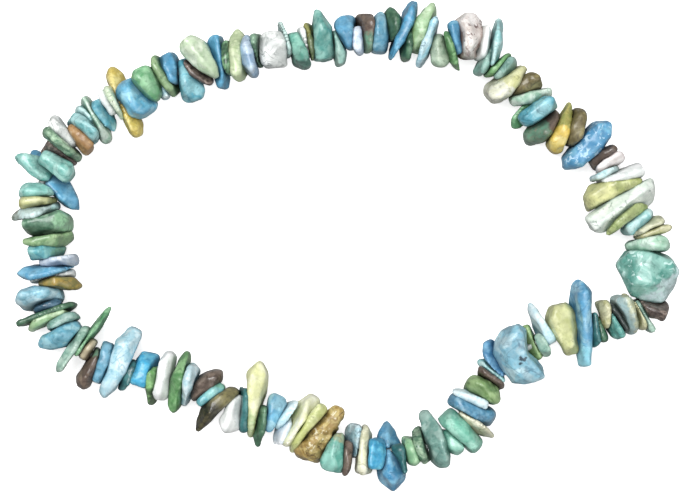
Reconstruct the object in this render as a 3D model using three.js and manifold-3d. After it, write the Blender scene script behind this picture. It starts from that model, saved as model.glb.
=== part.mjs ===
// Gemstone chip bracelet: tumbled stone chips strung tightly on one closed elastic thread,
// lying on a table as a loose oval ring. Millimetres, +Z up, the table is z = 0.
import * as THREE from 'three';
import { mergeVertices } from 'three/addons/utils/BufferGeometryUtils.js';
import Module from 'manifold-3d';

const wasm = await Module();
wasm.setup();

// Driving dimensions, in millimetres
const stringLength = 178.6; // once round the thread: a 7-inch string
const threadHeight = 2.9; // thread's centre above the table
const threadRadius = 0.35;
const boreRadius = 0.65; // drilled hole of a large chip
const clearance = 0.3; // between one chip and the next
const holdHalf = 0.14; // stone that always stays on each side of a chip's drilled centre
const tallest = 6.2; // the tallest chip
const flattest = 2.6; // the flattest blank
const largeCount = 40; // chips that are pieces of their own
const runCount = 8; // stretches of thread, each with its small chips on it
const fullness = 1.22; // chips are ground down from blanks this much wider than the chart says
const seatShare = 0.64; // thread that a chip takes up, as a share of its width
const tightness = 1.6; // beside the thread a blank is this much wider than its chip's room on it

// Driving dimensions in steps of the stringing chart, of about 1.1 mm each
const leastSeat = 0.6; // thread that any chip takes up at least
const shortestReach = 0.55; // how far a small chip reaches past the thread at least
const drilledReach = 1.0; // the same for a large chip, which is drilled
const drillPast = 4; // how far the drill runs each way past a large chip's place on the thread
const threadPitch = 1.5; // from one section of the thread to the next
const packedReach = 1.5; // how far from the thread the press of its neighbours on a chip fades

// Sides, sections and turns
const mostNod = 0.5; // radians from one chip's lean about its own length to another's, at most
const mostRise = 0.25; // the same for the rise of one tip over the other
const fullPress = 1.5; // that press is full within this less one times packedReach, and gone past this times it
const threadSides = 6;
const chipSides = 6;
const chipBands = 4;

// The thread's way round, clockwise seen from above, in steps from the middle of the ring
const route = [
  [-27.9, 10.6], [-23.7, 13.6], [-20.5, 15.4], [-17.3, 17.0], [-14.0, 18.3],
  [-10.0, 19.2], [-1.0, 20.7], [3.0, 21.3], [6.7, 21.0], [10.5, 20.2],
  [13.7, 19.4], [16.0, 17.2], [18.0, 14.8], [20.5, 12.2], [23.8, 10.1],
  [26.1, 7.8], [27.5, 5.0], [29.3, 2.2], [30.3, -0.7], [30.4, -3.5],
  [29.7, -5.9], [27.7, -6.9], [21.1, -8.8], [17.7, -10.6], [14.9, -12.6],
  [13.3, -15.3], [11.3, -18.3], [8.0, -20.1], [0.0, -20.3], [-3.7, -18.7],
  [-7.5, -17.1], [-15.5, -14.2], [-20.0, -12.7], [-24.0, -11.5], [-27.1, -9.9],
  [-28.9, -7.5], [-29.6, -4.5], [-29.9, 2.3], [-30.4, 5.5], [-29.7, 8.5],
];

// Moves the route so that the finished ring's box is centred on the origin, in steps
const shift = [-0.05, -0.03];

// Chip forms. outline: shares of the width at the outer tip, near it, in the middle, near the inner
// tip and at the inner tip; bend: how far the middle bows sideways, as a share of half the length;
// facets: flats broken off a large one
const forms = {
  leaf: { outline: [0.08, 0.72, 1, 0.72, 0.08], facets: 1 },
  blade: { outline: [0.35, 0.85, 1, 0.85, 0.35], facets: 1 },
  needle: { outline: [0.55, 0.95, 1, 0.6, 0.06], facets: 0 },
  spike: { outline: [0.07, 0.3, 0.9, 1, 0.6], facets: 0 },
  slab: { outline: [0.75, 0.95, 1, 0.95, 0.72], facets: 2 },
  block: { outline: [0.9, 1, 1, 1, 0.85], facets: 3 },
  pebble: { outline: [0.5, 0.9, 1, 0.9, 0.5], facets: 2 },
  petal: { outline: [0.4, 0.75, 1, 1, 0.5], facets: 1 },
  wedge: { outline: [0.8, 1, 0.85, 0.72, 0.5], facets: 1 },
  fan: { outline: [0.8, 1, 0.78, 0.46, 0.1], facets: 0 },
  fang: { outline: [0.12, 0.5, 0.85, 1, 0.7], facets: 1 },
  foot: { outline: [0.42, 0.48, 0.82, 1, 0.32], facets: 0 },
  spindle: { outline: [0.42, 0.48, 0.85, 0.88, 0.12], facets: 0 },
  lump: { outline: [0.7, 1, 0.95, 0.6, 0.4], facets: 3 },
  bow: { outline: [0.3, 1, 0.75, 0.95, 0.35], facets: 0 },
  club: { outline: [0.75, 1, 0.5, 0.9, 0.7], facets: 0 },
  boot: { outline: [0.35, 0.45, 0.62, 1, 0.6], bend: 0.12, facets: 0 },
  hook: { outline: [0.22, 0.6, 1, 0.85, 0.3], bend: -0.14, facets: 0 },
  egg: { outline: [0.3, 0.8, 1, 0.85, 0.36], facets: 1 },
  kidney: { outline: [0.45, 0.9, 0.82, 0.9, 0.45], bend: -0.2, facets: 0 },
};

const stones = {
  sky: 0x7fb4d6, steel: 0x4f7fa8, azure: 0x4aa3d8, ice: 0xbfdfe8, lavender: 0xaab4d4,
  teal: 0x5fa79f, deep_teal: 0x2f5f63, aqua: 0x9fd2d0, mint: 0xa9d6bd, jade: 0x5f9a6c,
  moss: 0x3f5a40, olive: 0x8f9a55, celadon: 0xc9d8b8, yellow: 0xc9b65a, cream: 0xdcd6b4,
  tan: 0xa8825c, brown: 0x5a4a40, dark: 0x2a2f2a, white: 0xe6e8e4, mixed: 0x9fb6ae,
};

// The stringing chart, in steps and in stringing order. Columns: where along the thread the outer
// tip lies, how far outside it reaches, the same for the inner tip, the chip's width, form, stone,
// and how many millimetres it rides over its neighbours, where it does
const chart = [
  [1.2, 1.4, 2.1, 2.0, 1.8, 'pebble', 'teal'],
  [2.9, 1.7, 2.7, 1.0, 1.0, 'pebble', 'aqua'],
  [3.6, 2.2, 3.3, 2.6, 1.5, 'blade', 'mint'],
  [5.0, 1.1, 4.1, 2.3, 1.8, 'fan', 'sky'],
  [5.5, 2.2, 5.4, 0.6, 0.8, 'leaf', 'white'],
  [6.6, 2.1, 6.3, 1.9, 1.0, 'leaf', 'celadon'],
  [7.6, 3.6, 6.9, 3.7, 1.5, 'bow', 'yellow', -1.2],
  [8.3, 1.5, 8.6, 2.3, 3.2, 'pebble', 'sky', 0.6],
  [10.1, 1.8, 10.3, 1.7, 2.2, 'fan', 'jade', 0.8],
  [11.2, 1.4, 11.1, 1.7, 0.7, 'slab', 'ice'],
  [11.9, 2.3, 12.0, 2.1, 1.5, 'leaf', 'olive'],
  [13.1, 2.0, 13.4, 0.9, 1.7, 'slab', 'steel'],
  [13.9, 0.6, 13.5, 3.1, 2.1, 'fang', 'sky'],
  [13.3, 1.6, 15.1, 2.2, 1.2, 'blade', 'brown', 0.3],
  [14.0, 2.6, 15.7, 1.8, 2.4, 'fan', 'celadon', 0.6],
  [16.3, 2.2, 16.0, 2.9, 1.5, 'club', 'sky'],
  [17.7, 1.5, 17.3, 1.7, 1.6, 'slab', 'moss'],
  [18.6, 2.5, 18.2, 2.8, 1.8, 'leaf', 'celadon'],
  [20.5, 1.6, 20.2, 2.4, 1.6, 'pebble', 'lavender'],
  [21.5, 1.9, 21.4, 1.8, 1.3, 'fan', 'moss'],
  [23.2, 1.4, 22.9, 1.7, 2.8, 'block', 'white'],
  [24.3, 3.0, 25.0, 0.9, 0.7, 'blade', 'aqua'],
  [25.0, 1.2, 25.8, 2.5, 1.9, 'pebble', 'teal'],
  [26.3, 1.5, 26.4, 1.9, 0.9, 'slab', 'white'],
  [26.9, 1.9, 27.2, 1.9, 0.9, 'blade', 'moss'],
  [28.2, 3.0, 28.2, 1.8, 2.7, 'spike', 'teal'],
  [29.0, 0.6, 28.8, 2.6, 1.5, 'slab', 'teal'],
  [30.0, 1.9, 30.2, 1.5, 2.3, 'fan', 'steel'],
  [30.9, 0.6, 30.8, 2.0, 0.9, 'blade', 'lavender'],
  [32.2, 1.8, 31.7, 1.9, 1.9, 'wedge', 'brown'],
  [33.8, 1.9, 33.4, 1.9, 2.0, 'fang', 'steel'],
  [34.7, 2.5, 35.0, 0.8, 1.5, 'leaf', 'moss'],
  [37.1, 3.4, 35.3, 2.7, 1.4, 'blade', 'sky'],
  [38.0, 3.4, 36.8, 1.4, 2.0, 'fang', 'celadon'],
  [36.9, 0.6, 37.1, 2.5, 1.2, 'pebble', 'moss'],
  [39.2, 2.0, 37.9, 2.9, 1.0, 'club', 'ice'],
  [39.6, 0.6, 40.6, 2.4, 1.6, 'fang', 'celadon'],
  [40.2, 0.9, 42.4, 2.5, 1.1, 'blade', 'jade'],
  [40.8, 1.9, 42.0, 0.8, 1.2, 'slab', 'steel'],
  [42.3, 3.2, 42.9, 1.0, 2.8, 'egg', 'cream'],
  [43.9, 2.4, 44.6, 0.8, 1.3, 'slab', 'white'],
  [44.4, 0.6, 45.1, 2.0, 1.2, 'slab', 'teal'],
  [43.9, 3.7, 45.6, 0.7, 1.1, 'slab', 'aqua'],
  [46.0, 1.6, 45.6, 1.6, 1.2, 'leaf', 'jade'],
  [46.6, 1.6, 47.2, 0.9, 1.3, 'fan', 'teal'],
  [48.2, 2.0, 48.3, 2.7, 2.3, 'fang', 'cream'],
  [50.2, 2.1, 49.6, 0.8, 1.4, 'fan', 'brown'],
  [51.9, 2.3, 50.0, 1.3, 1.9, 'blade', 'mint'],
  [51.3, 0.6, 51.5, 2.8, 1.1, 'leaf', 'jade'],
  [52.7, 1.8, 52.2, 2.0, 1.5, 'slab', 'sky', 0.5],
  [53.4, 1.2, 54.0, 2.8, 2.0, 'pebble', 'brown'],
  [54.9, 2.9, 55.7, 2.2, 2.1, 'foot', 'yellow'],
  [56.1, 2.8, 56.6, 0.9, 1.3, 'pebble', 'brown'],
  [58.6, 3.2, 58.1, 2.9, 2.5, 'leaf', 'steel'],
  [60.5, 1.8, 60.2, 0.8, 1.2, 'fan', 'brown'],
  [61.3, 2.0, 61.1, 0.9, 1.0, 'pebble', 'white'],
  [61.9, 0.9, 61.8, 1.8, 1.1, 'slab', 'aqua'],
  [62.9, 3.0, 62.5, 1.3, 1.5, 'slab', 'white'],
  [63.9, 2.5, 63.5, 3.3, 2.3, 'boot', 'olive'],
  [65.6, 3.5, 65.4, 4.1, 2.5, 'slab', 'celadon'],
  [66.9, 1.6, 67.5, 3.3, 0.5, 'blade', 'olive'],
  [67.4, 1.7, 67.9, 1.6, 1.4, 'fang', 'aqua'],
  [68.5, 2.3, 68.7, 0.8, 1.1, 'pebble', 'cream'],
  [69.5, 2.7, 69.3, 0.7, 0.9, 'pebble', 'olive'],
  [70.4, 2.2, 68.9, 1.9, 1.9, 'leaf', 'mint'],
  [73.2, 2.6, 72.7, 3.2, 4.7, 'egg', 'teal'],
  [75.9, 2.3, 75.9, 0.9, 1.7, 'block', 'brown'],
  [76.5, 2.6, 76.3, 0.7, 0.9, 'slab', 'mint'],
  [76.9, 2.0, 77.1, 1.8, 0.8, 'blade', 'olive'],
  [77.9, 2.1, 78.1, 2.0, 1.7, 'slab', 'ice'],
  [78.6, 1.5, 79.2, 1.2, 0.9, 'slab', 'dark'],
  [79.2, 2.0, 79.7, 0.6, 1.1, 'pebble', 'teal'],
  [80.4, 0.7, 80.1, 1.8, 1.0, 'fang', 'olive'],
  [80.7, 1.9, 80.9, 0.7, 1.0, 'pebble', 'moss'],
  [81.9, 2.2, 81.5, 1.0, 0.9, 'slab', 'deep_teal'],
  [83.3, 3.9, 82.0, 4.5, 2.2, 'spindle', 'sky'],
  [84.5, 2.9, 84.3, 2.5, 2.7, 'fang', 'yellow'],
  [86.1, 0.6, 86.4, 3.8, 1.0, 'needle', 'ice'],
  [87.0, 1.6, 87.1, 0.7, 1.0, 'pebble', 'mint'],
  [88.1, 1.4, 88.0, 1.9, 1.5, 'slab', 'jade'],
  [90.0, 3.0, 89.7, 2.6, 3.3, 'kidney', 'sky', 0.5],
  [91.9, 0.9, 91.4, 2.6, 1.8, 'pebble', 'steel'],
  [92.4, 1.3, 92.7, 1.9, 0.9, 'blade', 'aqua'],
  [93.2, 1.7, 93.4, 1.5, 0.9, 'blade', 'brown'],
  [94.8, 1.8, 94.7, 1.7, 2.0, 'pebble', 'jade'],
  [96.0, 0.9, 96.7, 2.5, 1.1, 'slab', 'ice'],
  [97.0, 2.4, 97.1, 2.4, 2.3, 'pebble', 'steel'],
  [97.9, 3.3, 98.0, 1.4, 0.8, 'blade', 'cream'],
  [99.2, 2.8, 98.9, 2.2, 2.5, 'slab', 'mint'],
  [100.6, 2.0, 100.5, 0.7, 1.4, 'pebble', 'teal'],
  [102.2, 2.3, 101.6, 3.2, 1.8, 'pebble', 'teal'],
  [103.5, 1.4, 103.9, 1.9, 1.7, 'pebble', 'moss'],
  [105.1, 1.5, 105.4, 1.3, 1.9, 'pebble', 'mint'],
  [106.0, 2.5, 106.3, 0.6, 0.8, 'blade', 'deep_teal'],
  [106.4, 3.9, 106.7, 2.7, 2.6, 'leaf', 'steel', -0.6],
  [107.6, 1.5, 107.5, 1.2, 1.6, 'block', 'azure', 0.6],
  [109.2, 2.1, 109.2, 2.5, 1.65, 'wedge', 'cream'],
  [110.9, 0.6, 111.1, 2.5, 1.5, 'pebble', 'ice'],
  [110.9, 2.7, 111.0, 0.7, 0.9, 'blade', 'brown'],
  [111.6, 2.3, 112.2, 1.5, 2.6, 'fan', 'teal'],
  [114.6, 2.7, 113.6, 3.5, 3.0, 'lump', 'tan'],
  [116.7, 2.4, 115.9, 3.1, 1.9, 'slab', 'olive'],
  [118.0, 1.8, 116.9, 3.4, 1.9, 'slab', 'cream'],
  [117.9, 2.8, 118.4, 0.6, 1.0, 'pebble', 'white'],
  [118.8, 0.6, 117.9, 2.5, 0.6, 'blade', 'ice'],
  [119.3, 1.2, 119.3, 2.2, 1.9, 'pebble', 'sky'],
  [119.0, 3.1, 120.0, 0.7, 1.0, 'slab', 'moss'],
  [119.7, 2.6, 121.4, 4.8, 1.9, 'spindle', 'celadon'],
  [121.0, 2.4, 121.9, 1.9, 1.4, 'slab', 'deep_teal'],
  [122.1, 2.8, 122.6, 0.8, 1.6, 'fan', 'white'],
  [125.4, 3.7, 123.1, 1.3, 1.7, 'hook', 'brown'],
  [126.5, 1.3, 125.2, 1.4, 1.2, 'slab', 'aqua'],
  [127.4, 0.9, 125.3, 2.6, 1.9, 'needle', 'brown'],
  [127.9, 1.8, 128.3, 2.2, 1.6, 'slab', 'ice'],
  [128.7, 3.0, 129.3, 3.2, 1.1, 'leaf', 'jade'],
  [130.4, 2.0, 131.0, 2.6, 1.6, 'pebble', 'white'],
  [131.8, 2.9, 131.8, 0.8, 1.0, 'pebble', 'jade'],
  [133.0, 1.2, 132.9, 1.9, 2.9, 'wedge', 'azure'],
  [133.8, 2.3, 133.8, 0.7, 1.5, 'fan', 'deep_teal'],
  [135.6, 3.4, 134.6, 3.8, 2.2, 'petal', 'ice'],
  [137.0, 2.1, 137.1, 1.7, 1.3, 'slab', 'steel'],
  [138.4, 3.3, 138.2, 0.8, 1.5, 'pebble', 'brown'],
  [139.0, 0.6, 138.7, 1.4, 1.4, 'pebble', 'tan'],
  [139.5, 0.6, 138.6, 5.0, 1.0, 'needle', 'jade'],
  [139.5, 3.2, 140.1, 2.1, 1.1, 'blade', 'mint'],
  [142.2, 2.6, 141.1, 1.6, 2.4, 'fang', 'sky'],
  [143.4, 0.9, 142.4, 2.1, 1.6, 'pebble', 'teal'],
  [144.1, 2.8, 144.3, 1.4, 1.1, 'leaf', 'celadon'],
  [144.7, 3.5, 145.2, 2.3, 0.8, 'blade', 'moss'],
  [145.5, 1.6, 145.8, 1.0, 0.9, 'slab', 'dark'],
  [146.0, 3.1, 146.3, 0.8, 2.0, 'block', 'ice'],
  [146.5, 0.8, 145.9, 3.2, 1.5, 'leaf', 'olive'],
  [147.1, 1.7, 147.7, 2.5, 0.9, 'slab', 'white'],
  [148.0, 3.2, 148.6, 2.6, 1.4, 'leaf', 'steel'],
  [149.0, 0.6, 149.2, 2.9, 1.2, 'fang', 'lavender'],
  [149.8, 1.5, 149.9, 1.7, 1.9, 'block', 'teal'],
  [151.1, 2.0, 151.7, 2.4, 1.4, 'slab', 'olive'],
  [153.0, 2.0, 153.2, 2.3, 2.3, 'block', 'moss'],
  [155.2, 3.1, 155.6, 1.3, 1.5, 'petal', 'aqua'],
  [156.9, 1.9, 156.8, 1.3, 1.3, 'slab', 'olive'],
  [161.1, 2.5, 155.2, 3.4, 1.75, 'leaf', 'steel', -0.7],
  [158.0, 1.9, 157.8, 1.4, 1.5, 'pebble', 'mint'],
  [159.3, 3.1, 158.7, 0.7, 1.9, 'fang', 'teal'],
  [159.8, 0.6, 159.3, 2.9, 1.7, 'fang', 'mint', 0.5],
  [160.8, 0.8, 160.6, 2.2, 1.9, 'block', 'brown'],
  [161.2, 2.0, 161.4, 2.3, 1.4, 'slab', 'moss'],
  [162.5, 2.6, 162.2, 0.9, 1.4, 'leaf', 'white'],
  [0.4, 0.6, 0.8, 2.3, 1.3, 'block', 'tan'],
];

const clamp = THREE.MathUtils.clamp;
const lerp = THREE.MathUtils.lerp;

// A steady number from 0 to 1 for chip n and purpose k
const chance = (n, k) => {
  const wave = Math.sin(n * 12.9898 + k * 78.233) * 43758.5453;
  return wave - Math.floor(wave);
};

// The thread's centre line, in steps
const thread = new THREE.CatmullRomCurve3(
  route.map(([x, y]) => new THREE.Vector3(x + shift[0], y + shift[1], 0)),
  true,
  'centripetal',
);
thread.arcLengthDivisions = 1500;
const steps = thread.getLength();
const step = stringLength / steps;

// Steps along the thread from one station onward to another
const onwardTo = (from, to) => THREE.MathUtils.euclideanModulo(to - from, steps);

// A place on the thread, with its direction of travel and the level direction out of the ring
const stationAt = (at) => {
  const u = THREE.MathUtils.euclideanModulo(at / steps, 1);
  const place = thread.getPointAt(u).multiplyScalar(step).setZ(threadHeight);
  const onward = thread.getTangentAt(u).setZ(0).normalize();
  return { place, onward, outward: new THREE.Vector3(-onward.y, onward.x, 0) };
};

// A solid from a closed three.js geometry, facing out
const solid = (geometry) => {
  geometry.deleteAttribute('normal');
  geometry.deleteAttribute('uv');
  const merged = mergeVertices(geometry, 1e-4);
  const vertProperties = Float32Array.from(merged.attributes.position.array);
  const triVerts = Uint32Array.from(merged.index.array);
  const body = new wasm.Manifold(new wasm.Mesh({ numProp: 3, vertProperties, triVerts }));
  if (body.volume() > 0) return body;
  triVerts.reverse();
  return new wasm.Manifold(new wasm.Mesh({ numProp: 3, vertProperties, triVerts }));
};

// A many-sided tube along the thread from one station to another
class Stretch extends THREE.Curve {
  constructor(from, to) {
    super();
    this.from = from;
    this.to = to;
  }

  getPoint(u) {
    return stationAt(lerp(this.from, this.to, u)).place;
  }
}

const tube = (from, to, radius) => {
  const corners = Array.from({ length: threadSides }, (_, k) => {
    const angle = ((k + 0.5) / threadSides) * 2 * Math.PI;
    return new THREE.Vector2(radius * Math.cos(angle), radius * Math.sin(angle));
  });
  const geometry = new THREE.ExtrudeGeometry(new THREE.Shape(corners), {
    steps: Math.round((to - from) / threadPitch),
    bevelEnabled: false,
    extrudePath: new Stretch(from, to),
  });
  return solid(geometry);
};

// One chip before it meets its neighbours: a many-sided bar along its two tips that widens and
// tapers as its form says, a little uneven, with flats broken off it
const roughChip = (chip, n) => {
  const form = forms[chip.form];
  const outer = stationAt(chip.outerAt);
  const inner = stationAt(chip.innerAt);
  const outerTip = outer.place.clone().addScaledVector(outer.outward, chip.out * step);
  const innerTip = inner.place.clone().addScaledVector(inner.outward, -chip.in * step);
  const middle = outerTip.clone().add(innerTip).multiplyScalar(0.5);
  middle.z += chip.over;
  const along = outerTip.clone().sub(innerTip);
  const half = along.length() / 2;
  along.normalize();
  const across = new THREE.Vector3(-along.y, along.x, 0);
  const halfWidth = (chip.width * fullness * step) / 2;
  const pressed = (chip.room * tightness * step) / 2;
  const drilledAt = ((chip.in - chip.out) / (chip.in + chip.out)) * half;
  const grown = lerp(0.9, 1.15, chance(n, 4));
  const halfHeight = clamp((0.55 * half + 0.35 * halfWidth + 0.9) * grown, flattest / 2, tallest / 2);
  const nod = (chance(n, 2) - 0.5) * mostNod;
  const rise = (chance(n, 3) - 0.5) * mostRise;
  const turn = chance(n, 1) * Math.PI;
  const geometry = new THREE.CylinderGeometry(1, 1, 2, chipSides, chipBands);
  const position = geometry.attributes.position;
  const point = new THREE.Vector3();
  for (let i = 0; i < position.count; i += 1) {
    point.fromBufferAttribute(position, i);
    const x = Math.sin((point.y * Math.PI) / 2);
    const band = Math.round(((1 - point.y) / 2) * chipBands);
    const angle = Math.atan2(point.z, point.x);
    const corner = Math.round((angle / (2 * Math.PI)) * chipSides + chipSides) % chipSides;
    const level = Math.hypot(point.x, point.z);
    const bump = level * lerp(0.85, 1.1, chance(n, 40 + band * chipSides + corner));
    const share = form.outline[band];
    const bow = (form.bend ?? 0) * half * (1 - 2 * x * x);
    const near = clamp(fullPress - Math.abs(x * half - drilledAt) / (packedReach * step), 0, 1);
    const spread = Math.max(halfWidth * share, pressed * near);
    const wide = bump * Math.cos(angle + turn) * spread + bow;
    const high = bump * Math.sin(angle + turn) * halfHeight * lerp(1, share, 0.7);
    point.copy(middle);
    point.addScaledVector(along, x * half);
    point.addScaledVector(across, wide + high * Math.sin(nod));
    point.z += high * Math.cos(nod) + x * half * Math.sin(rise);
    position.setXYZ(i, point.x, point.y, point.z);
  }
  let body = solid(geometry);
  for (let k = 0; chip.large && k < form.facets; k += 1) {
    const way = chance(n, 10 + k) * 2 * Math.PI;
    const flat = new THREE.Vector3()
      .addScaledVector(along, Math.cos(way))
      .addScaledVector(across, Math.sin(way))
      .setZ(lerp(0, 0.9, chance(n, 20 + k)))
      .normalize();
    const far = reachOf(pointsOf(body), flat).most;
    const cut = lerp(flat.dot(middle), far, lerp(0.72, 0.9, chance(n, 30 + k)));
    body = body.trimByPlane(flat.negate().toArray(), -cut);
  }
  return body.trimByPlane([0, 0, 1], 0).trimByPlane([0, 0, -1], -tallest);
};

// Corner points of a solid, and how far they reach in a direction
const pointsOf = (body) => {
  const mesh = body.getMesh();
  const points = [];
  for (let i = 0; i < mesh.vertProperties.length; i += mesh.numProp) {
    points.push(new THREE.Vector3(...mesh.vertProperties.slice(i, i + 3)));
  }
  return points;
};

const reachOf = (points, direction) => {
  let least = Infinity;
  let most = -Infinity;
  for (const point of points) {
    const value = direction.dot(point);
    least = Math.min(least, value);
    most = Math.max(most, value);
  }
  return { least, most };
};

// Directions tried for the flat on which two chips meet, spread evenly over a sphere
const tryCount = 260;
const leastLean = 0.6; // how far the flat under a chip that rides over the next one faces up
const uprightCost = 3; // how much worse a flat that doesn't is held to be
const tries = Array.from({ length: tryCount }, (_, k) => {
  const z = 1 - (2 * (k + 0.5)) / tryCount;
  const turn = k * Math.PI * (3 - Math.sqrt(5));
  const level = Math.sqrt(1 - z * z);
  return new THREE.Vector3(level * Math.cos(turn), level * Math.sin(turn), z);
});

// Two chips that would press into each other are ground to a flat where they overlap least,
// the smaller one giving way more, and each keeps stone round its own drilled centre
const grind = (a, b) => {
  const between = b.hole.clone().sub(a.hole);
  const over = Math.sign(b.over - a.over);
  let best = null;
  const size = a.bulk + b.bulk;
  for (const direction of [...tries, ...a.faces, ...b.faces]) {
    const normal = direction.clone();
    if (normal.dot(between) < 0) normal.negate();
    const most = reachOf(a.points, normal).most;
    const least = reachOf(b.points, normal).least;
    if (most + clearance <= least + 1e-3) return;
    const low = normal.dot(a.hole) + holdHalf + clearance / 2;
    const high = normal.dot(b.hole) - holdHalf - clearance / 2;
    if (low > high) continue;
    const level = clamp(lerp(least, most, a.bulk / size), low, high);
    const upright = over !== 0 && normal.z * over < leastLean ? uprightCost : 1;
    const lost = Math.max(0, most - level) * a.bulk + Math.max(0, level - least) * b.bulk;
    if (!best || lost * upright < best.cost) best = { cost: lost * upright, normal, level };
  }
  const { normal, level } = best;
  trim(a, normal.clone().negate(), -(level - clearance / 2));
  trim(b, normal, level + clearance / 2);
};

const trim = (chip, normal, level) => {
  chip.body = chip.body.trimByPlane(normal.toArray(), level);
  measure(chip);
};

// A chip's corner points and the directions that its larger faces look in
const leastFace = 0.05; // twice the area of the smallest of those faces
const measure = (chip) => {
  chip.points = pointsOf(chip.body);
  const mesh = chip.body.getMesh();
  chip.faces = [];
  for (let i = 0; i < mesh.triVerts.length; i += 3) {
    const [p, q, r] = [0, 1, 2].map((k) => chip.points[mesh.triVerts[i + k]]);
    const face = q.clone().sub(p).cross(r.clone().sub(p));
    if (face.length() > leastFace) chip.faces.push(face.normalize());
  }
};

// Chips in stringing order, each with the station of its drilled hole
const chips = chart.map(([outerAt, out, innerAt, inside, width, form, stone, over = 0]) => ({
  outerAt, out, innerAt, in: inside, width, form, stone, over,
  at: lerp(outerAt, innerAt, out / (out + inside)),
}));
chips.sort((a, b) => a.at - b.at);
const bulkOf = (chip) => (chip.out + chip.in) * chip.width;
const seatOf = (chip) => Math.max(leastSeat, seatShare * chip.width);
const bySize = [...chips].sort((a, b) => bulkOf(b) - bulkOf(a));
bySize.forEach((chip, rank) => {
  chip.large = rank < largeCount;
});

// No two chips share a place on the thread: close ones push each other along it
const pushRounds = 400;
for (let round = 0; round < pushRounds; round += 1) {
  chips.forEach((chip, n) => {
    const next = chips[(n + 1) % chips.length];
    const room = onwardTo(chip.at - steps / 2, next.at) - steps / 2;
    const need = (seatOf(chip) + seatOf(next)) / 2;
    if (room >= need) return;
    const push = (need - room) / 2;
    const share = bulkOf(next) / (bulkOf(chip) + bulkOf(next));
    for (const [one, way] of [[chip, -push * share], [next, push * (1 - share)]]) {
      one.at += way;
      one.outerAt += way;
      one.innerAt += way;
    }
  });
}

chips.forEach((chip, n) => {
  const least = chip.large ? drilledReach : shortestReach;
  chip.out = Math.max(chip.out, least);
  chip.in = Math.max(chip.in, least);
  chip.hole = stationAt(chip.at).place;
  chip.bulk = bulkOf(chip);
  const [before, next] = [n - 1, n + 1].map((k) => chips[(k + chips.length) % chips.length]);
  chip.room = onwardTo(before.at, next.at) / 2;
  chip.body = roughChip(chip, n);
  measure(chip);
});

// Grind each chip against the next ones along the string
const farthestNeighbour = 9;
for (let ahead = 1; ahead <= farthestNeighbour; ahead += 1) {
  chips.forEach((chip, n) => grind(chip, chips[(n + ahead) % chips.length]));
}

// Drill the large chips; join the small ones to their stretch of thread
const pieces = [];
const mesh = (name, body, stone) => {
  const { vertProperties, triVerts } = body.getMesh();
  const geometry = new THREE.BufferGeometry();
  geometry.setAttribute('position', new THREE.BufferAttribute(vertProperties, 3));
  geometry.setIndex(new THREE.BufferAttribute(triVerts, 1));
  geometry.computeVertexNormals();
  const colour = stones[stone];
  const material = new THREE.MeshStandardMaterial({ color: colour, roughness: 0.3, metalness: 0 });
  const piece = new THREE.Mesh(geometry, material);
  piece.name = name;
  pieces.push(piece);
};

const largeChips = chips.filter((chip) => chip.large);
largeChips.forEach((chip, n) => {
  const drill = tube(chip.at - drillPast, chip.at + drillPast, boreRadius);
  const body = chip.body.subtract(drill);
  mesh(`chip_${String(n + 1).padStart(2, '0')}_${chip.stone}`, body, chip.stone);
});

// Each run's thread ends inside the bore of a large chip, where the next one begins
const joins = Array.from({ length: runCount }, (_, k) => {
  const wanted = (k * steps) / runCount;
  const offsets = largeChips.map((chip) => onwardTo(wanted - steps / 2, chip.at) - steps / 2);
  return wanted + offsets.reduce((best, value) => (Math.abs(value) < Math.abs(best) ? value : best));
});
joins.push(joins[0] + steps);
const endGap = clearance / 2 / step;
for (let k = 0; k < runCount; k += 1) {
  const [from, to] = [joins[k], joins[k + 1]];
  let body = tube(from + endGap, to - endGap, threadRadius);
  for (const chip of chips) {
    if (!chip.large && onwardTo(from, chip.at) < to - from) body = body.add(chip.body);
  }
  mesh(`run_${k + 1}`, body, 'mixed');
}

const bracelet = new THREE.Group();
bracelet.add(...pieces);
export default bracelet;
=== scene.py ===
"""Gemstone chip bracelet: tumbled stone chips on one closed elastic thread, lying on a white table.

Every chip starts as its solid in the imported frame. The large chips are nodes of their own, and the
small ones are cut off the stretches of thread that carry them. Each rough chip is then knapped and
tumbled: flat faces are broken off it, and it gets the hollows, the dents, the swell and the polished,
veined skin of a real one.
"""

import logging
import math
import random
from dataclasses import dataclass, field, replace
from enum import Enum
from typing import Iterator, Optional, Union

import bmesh
import bpy
import numpy as np
from bpy.types import Material, Mesh, Object
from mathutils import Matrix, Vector
from mathutils.kdtree import KDTree


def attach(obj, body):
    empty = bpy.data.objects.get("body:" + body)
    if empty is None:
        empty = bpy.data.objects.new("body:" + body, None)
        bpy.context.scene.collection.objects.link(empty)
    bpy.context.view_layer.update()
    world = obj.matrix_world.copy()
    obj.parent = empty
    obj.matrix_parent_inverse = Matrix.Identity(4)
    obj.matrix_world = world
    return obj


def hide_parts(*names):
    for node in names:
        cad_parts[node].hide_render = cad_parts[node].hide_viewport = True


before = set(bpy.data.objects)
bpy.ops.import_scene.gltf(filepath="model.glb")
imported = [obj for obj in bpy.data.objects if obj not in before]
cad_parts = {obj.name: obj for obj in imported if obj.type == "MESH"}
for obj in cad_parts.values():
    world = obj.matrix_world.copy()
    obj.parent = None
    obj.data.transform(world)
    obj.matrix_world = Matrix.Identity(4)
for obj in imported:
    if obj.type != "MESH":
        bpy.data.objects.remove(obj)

log = logging.getLogger("bracelet")

MM = 0.001
WHITE = (1.0, 1.0, 1.0, 1.0)
BESIDE = "beside_thread"  # a point's place beside its chip's hole, outward and onward, and the chip's tone
Colour = tuple[float, float, float]
Pair = tuple[float, float]
Shape = bmesh.types.BMesh
Number = Union[float, "Term"]


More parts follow.
